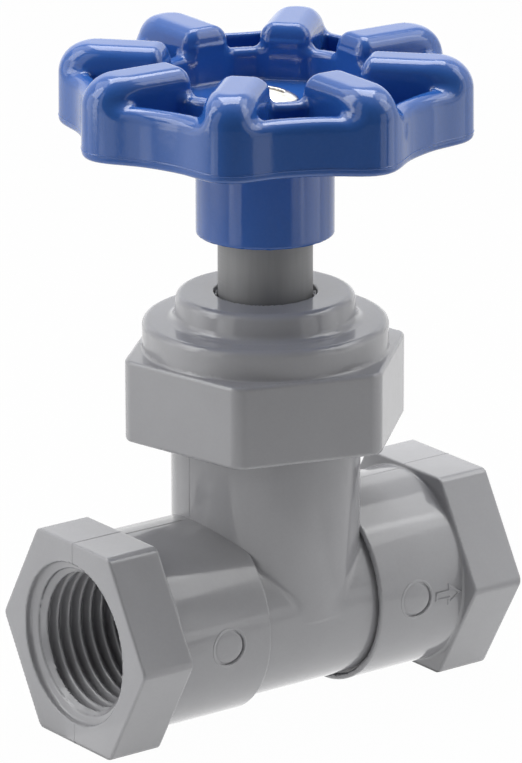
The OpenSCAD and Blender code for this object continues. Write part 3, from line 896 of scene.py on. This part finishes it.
def raised_line(name, path, normals, width, height, closed=False):
    """Low raised line along a path in mm, sunk a little into the surface that it lies on."""
    path, normals = np.array(path, float), np.array(normals, float)
    ahead = np.roll(path, -1, 0) - path
    behind = path - np.roll(path, 1, 0)
    if not closed:
        ahead[-1], behind[0] = behind[-1], ahead[0]
    ahead /= np.linalg.norm(ahead, axis=1)[:, None]
    behind /= np.linalg.norm(behind, axis=1)[:, None]
    along = ahead + behind
    along /= np.linalg.norm(along, axis=1)[:, None]
    side = np.cross(along, normals)
    side /= np.linalg.norm(side, axis=1)[:, None]
    widen = 1 / np.maximum((along * ahead).sum(1), MITRE_LIMIT)[:, None]
    points = [path + side * widen * width * a + normals * height * b for a, b in LINE_SECTION]
    n, sides, points = len(path), len(LINE_SECTION), np.concatenate(points)
    faces = []
    for i in range(n if closed else n - 1):
        k = (i + 1) % n
        for a in range(sides):
            b = (a + 1) % sides
            faces.append((a * n + i, a * n + k, b * n + k, b * n + i))
    if not closed:
        faces.append([a * n for a in range(sides)])
        faces.append([a * n + n - 1 for a in reversed(range(sides))])
    return mesh_piece(name, points, faces)


def seam(name, side):
    """Parting line of the mould in the plane of port and stem, at one end of the body."""
    gap, collar_gap, neck_gap = SEAM_GAPS
    top, axis, face = 2 * AXIS_Z, AXIS_Z, face_x(side)
    nut_x, edge = face - HEX_THICK, HEX_EDGE_R * EDGE_INSET
    up = [
        (face, axis + MOUTH_R + gap, 1, 0),
        (face, top - HEX_EDGE_R, 1, 0),
        (face - edge, top - edge, EDGE_NORMAL, EDGE_NORMAL),
        (face - HEX_EDGE_R, top, 0, 1),
        (nut_x + HEX_EDGE_R, top, 0, 1),
        (nut_x + edge, top - edge, -EDGE_NORMAL, EDGE_NORMAL),
        (nut_x, axis + COLLAR_R + collar_gap, -1, 0),
    ]
    collar = [(nut_x - gap, axis + COLLAR_R, 0, 1), (NECK_R + neck_gap, axis + COLLAR_R, 0, 1)]
    neck = [(NECK_R, axis + COLLAR_R + neck_gap, 1, 0), (NECK_R, BONNET_Z + neck_gap, 1, 0)]
    down = [(x, 2 * axis - z, nx, -nz) for x, z, nx, nz in up]
    under = [
        (nut_x - gap, axis - COLLAR_R, 0, -1),
        (COLLAR_X + COLLAR_EDGE_R + gap, axis - COLLAR_R, 0, -1),
    ]
    pieces = []
    for i, run in enumerate((up, collar, neck, down, under)):
        path = [(side * x, 0, z) for x, z, _, _ in run]
        normals = [(side * nx, 0, nz) for _, _, nx, nz in run]
        pieces.append(raised_line(f"{name}_{i}", path, normals, *SEAM_LINE))
    return join(name, pieces)


def lip_line():
    """Fine line around the rim, a little over its foot."""
    path, normals = [], []
    for i in range(LIP_SIDES):
        turn = 2 * math.pi * i / LIP_SIDES
        outline, lean = lobe_radius(np.array(turn))
        reach = outline - DRAFT * (LIP_Z - RIM_Z)
        out = np.array((1.0, lean / outline))
        out /= np.hypot(*out)
        c, s = math.cos(turn + WHEEL_TURN), math.sin(turn + WHEEL_TURN)
        path.append((reach * c, reach * s, LIP_Z))
        normals.append((out[0] * c - out[1] * s, out[0] * s + out[1] * c, 0))
    return raised_line("rim_lip", path, normals, *LIP_LINE, closed=True)


def on_collar(x, z):
    """Point and normal on the front of a collar, from x and the height over the axis."""
    y = -math.sqrt(COLLAR_R**2 - z * z)
    return (x, y, AXIS_Z + z), (0, y / COLLAR_R, z / COLLAR_R)


def flow_arrow():
    """Raised outline of an arrow that points along the flow."""
    tail, barb, tip = ARROW_X
    outline = [(tail, ARROW_HALF), (barb, ARROW_HALF), (barb, ARROW_SPREAD), (tip, 0)]
    outline += [(barb, -ARROW_SPREAD), (barb, -ARROW_HALF), (tail, -ARROW_HALF)]
    path, normals = zip(*[on_collar(x, z + ARROW_MIDDLE) for x, z in outline])
    return raised_line("flow_arrow", path, normals, *ARROW_LINE, closed=True)


def round_mark(name, x):
    """Mark of an ejector pin on the front of a collar: disc, dark gap on one side, low rim.

    It is a closed shell, set in a pocket of the collar.
    """
    slope, offset = MARK_GAP_SHARE
    points, faces = [], []
    for radius, height, gap in MARK_ROWS:
        for i in range(MARK_SIDES if radius else 1):
            turn = 2 * math.pi * i / MARK_SIDES
            depth = gap * min(max(math.cos(turn - MARK_GAP_TURN) * slope + offset, 0), 1)
            place = radius * math.cos(turn), radius * math.sin(turn)
            point, normal = on_collar(x + place[0], place[1])
            points.append(np.array(point) + np.array(normal) * (height - depth))
    for row in range(len(MARK_ROWS) - 1):
        for i in range(MARK_SIDES):
            k = (i + 1) % MARK_SIDES
            low = 1 + (row - 1) * MARK_SIDES
            high = low + MARK_SIDES
            if row == 0:
                faces.append((0, high + k, high + i))
            elif row == len(MARK_ROWS) - 2:
                faces.append((low + i, low + k, high))
            else:
                faces.append((low + i, low + k, high + k, high + i))
    return mesh_piece(name, points, [face[::-1] for face in faces])


# Pieces, on their bodies


def dress(piece, material, body, slot, *nodes):
    """Give a piece its look and its body, and hide the nodes that it stands for. The slot is not
    used.
    """
    piece.data.materials.append(material)
    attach(piece, body)
    if nodes:
        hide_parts(*nodes)


dress(body_end("valve_body_inlet", -1), grey, "fixed_valve", "grey_pvc", "inlet_socket")
dress(body_end("valve_body_outlet", 1), grey, "fixed_valve", "grey_pvc", "outlet_socket")
dress(body_middle(), grey, "fixed_valve", "grey_pvc", "valve_body", "body_neck")
dress(seam("inlet_seam", -1), grey, "fixed_valve", "grey_pvc")
dress(seam("outlet_seam", 1), grey, "fixed_valve", "grey_pvc")
dress(round_mark("inlet_mark", -MARK_X[-1]), grey, "fixed_valve", "grey_pvc")
dress(round_mark("outlet_mark", MARK_X[1]), grey, "fixed_valve", "grey_pvc")
dress(flow_arrow(), grey, "fixed_valve", "grey_pvc")
dress(bonnet_shell(), grey, "fixed_valve", "grey_pvc", "bonnet")
dress(handwheel_shell(), blue, "spindle", "blue_plastic", "handwheel")
dress(lip_line(), blue, "spindle", "blue_plastic")
dress(screw_head_and_shank(), bright, "spindle", "bright_steel", "handwheel_screw")

FINISHES = {
    "stem": satin_grey,
    "disc_holder": grey,
    "bonnet_gasket": black,
    "lower_seal_ring": black,
    "upper_seal_ring": black,
    "seat_washer": black,
    "washer_screw": bright,
}
for node, material in FINISHES.items():
    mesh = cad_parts[node].data
    mesh.materials.clear()
    mesh.materials.append(material)


# Floor and world

UP = Vector((0, 0, 1))
TOWARD_CAMERA = (math.sin(math.radians(CAMERA_AZ)), -math.cos(math.radians(CAMERA_AZ)), 0.0)
TO_RIGHT = Vector((math.cos(math.radians(CAMERA_AZ)), math.sin(math.radians(CAMERA_AZ)), 0))


def seen(tree, place, reach, back_level):
    """How much of the white background a ray sees.

    Camera and transmission rays see all of it, and diffuse rays none. Glossy rays see back_level
    behind the valve, and less and less over reach on the side from which the photograph is taken,
    where the studio is dark. That side is fixed in the scene, and doesn't turn with the view.
    """

    def calc(operation, *values):
        node = tree.nodes.new("ShaderNodeMath")
        node.operation, node.use_clamp = operation, True
        for socket, value in zip(node.inputs, values):
            tree.links.new(value, socket)
        return node.outputs[0]

    front = tree.nodes.new("ShaderNodeVectorMath")
    front.operation = "DOT_PRODUCT"
    tree.links.new(place, front.inputs[0])
    front.inputs[1].default_value = TOWARD_CAMERA
    fall = tree.nodes.new("ShaderNodeMapRange")
    fall.interpolation_type = "SMOOTHSTEP"
    tree.links.new(front.outputs["Value"], fall.inputs[0])
    for socket, value in zip(list(fall.inputs)[1:5], (*reach, back_level, FRONT_LEVEL)):
        socket.default_value = value
    path = tree.nodes.new("ShaderNodeLightPath")
    value = calc("MULTIPLY", path.outputs["Is Glossy Ray"], fall.outputs["Result"])
    for ray in ("Is Camera Ray", "Is Transmission Ray"):
        value = calc("ADD", value, path.outputs[ray])
    return value


def white_floor():
    """Grey that takes the valve's shadow, shown as white, and clear when seen from below."""
    material = bpy.data.materials.new("floor_white")
    material.use_nodes = True
    tree = material.node_tree
    tree.nodes.clear()

    def new(kind):
        return tree.nodes.new("ShaderNode" + kind)

    def mixed(share, a, b):
        mix = new("MixShader")
        for socket, source in zip(mix.inputs, (share, a.outputs[0], b.outputs[0])):
            tree.links.new(source, socket)
        return mix

    diffuse = new("BsdfDiffuse")
    diffuse.inputs["Color"].default_value = (FLOOR_GREY, FLOOR_GREY, FLOOR_GREY, 1)
    spot = new("NewGeometry")
    share = new("Math")
    share.operation = "MULTIPLY"
    share.inputs[1].default_value = FLOOR_GLOW
    sight = seen(tree, spot.outputs["Position"], FLOOR_REACH, FLOOR_SHEEN)
    tree.links.new(sight, share.inputs[0])
    front = mixed(share.outputs[0], diffuse, new("Emission"))
    both_sides = mixed(spot.outputs["Backfacing"], front, new("BsdfTransparent"))
    tree.links.new(both_sides.outputs[0], new("OutputMaterial").inputs["Surface"])
    return material


def add_floor():
    half = FLOOR_HALF
    mesh = bpy.data.meshes.new("floor")
    corners = [(-half, -half, 0), (half, -half, 0), (half, half, 0), (-half, half, 0)]
    mesh.from_pydata(corners, [], [(0, 1, 2, 3)])
    floor = put_in_scene("floor", mesh)
    mesh.materials.append(white_floor())
    floor.location.z = cad_box[0][2] - FLOOR_GAP


def add_world():
    world = bpy.data.worlds.new("studio")
    bpy.context.scene.world = world
    world.use_nodes = True
    tree = world.node_tree
    background = tree.nodes["Background"]
    background.inputs["Color"].default_value = (1, 1, 1, 1)
    level = tree.nodes.new("ShaderNodeMapRange")
    level.inputs["To Min"].default_value = AMBIENT
    heading = tree.nodes.new("ShaderNodeTexCoord").outputs["Generated"]
    tree.links.new(seen(tree, heading, SKY_REACH, 1.0), level.inputs[0])
    tree.links.new(level.outputs[0], background.inputs["Strength"])


# Lamps


def lamp(name, middle, facing, width, tall, level):
    """Rectangular lamp that the camera doesn't see. Lengths in metres, level is its brightness."""
    data = bpy.data.lights.new(name, "AREA")
    data.shape, data.size, data.size_y = "RECTANGLE", width, tall
    data.energy = level * math.pi * width * tall
    box = put_in_scene(name, data)
    box.location = middle
    box.rotation_mode = "QUATERNION"
    box.rotation_quaternion = Vector(facing).to_track_quat("-Z", "Y")
    box.visible_camera = False


def side_lamp(name, turn, distance, width, low, high, level):
    """Softbox standing beside the valve, turn degrees to the right of the camera's side."""
    toward = math.radians(CAMERA_AZ - 90 + turn)
    out = Vector((math.cos(toward), math.sin(toward), 0))
    middle = out * distance + Vector((0, 0, (low + high) / 2))
    lamp(name, middle, -out, width, high - low, level)


def add_lamps():
    to_camera = Vector(TOWARD_CAMERA)
    for name, numbers in SIDE_LAMPS.items():
        side_lamp(name, *numbers)
    for name, (right, level) in TOP_LAMPS.items():
        middle = UP * TOP_LAMP_Z - to_camera * TOP_LAMP_BACK + TO_RIGHT * right
        facing = UP * TOP_LAMP_AIM_Z - middle
        lamp(name, middle, facing, TOP_LAMP_SIZE, TOP_LAMP_SIZE, level)
    for name, (right, near, size, level) in TABLE_LAMPS.items():
        middle = UP * TABLE_LAMP_Z + TO_RIGHT * right + to_camera * near
        lamp(name, middle, UP, *size, level)


# Camera


def add_camera():
    camera = put_in_scene("camera", bpy.data.cameras.new("camera"))
    az, el, roll = (math.radians(a) for a in (CAMERA_AZ, CAMERA_EL, CAMERA_ROLL))
    back = Vector((math.sin(az) * math.cos(el), -math.cos(az) * math.cos(el), math.sin(el)))
    up = back.cross(TO_RIGHT)
    c, s = math.cos(roll), math.sin(roll)
    turn = Matrix((c * TO_RIGHT + s * up, c * up - s * TO_RIGHT, back)).transposed()
    camera.matrix_world = Matrix.Translation(Vector(CAMERA_AT) * MM) @ turn.to_4x4()
    camera.data.sensor_width = CAMERA_SENSOR
    camera.data.lens = CAMERA_LENS
    camera.data.clip_start, camera.data.clip_end = CAMERA_CLIP
    camera.data.dof.use_dof = False
    bpy.context.scene.camera = camera


add_floor()
add_world()
add_lamps()
add_camera()
bpy.context.scene.view_settings.view_transform = "Standard"
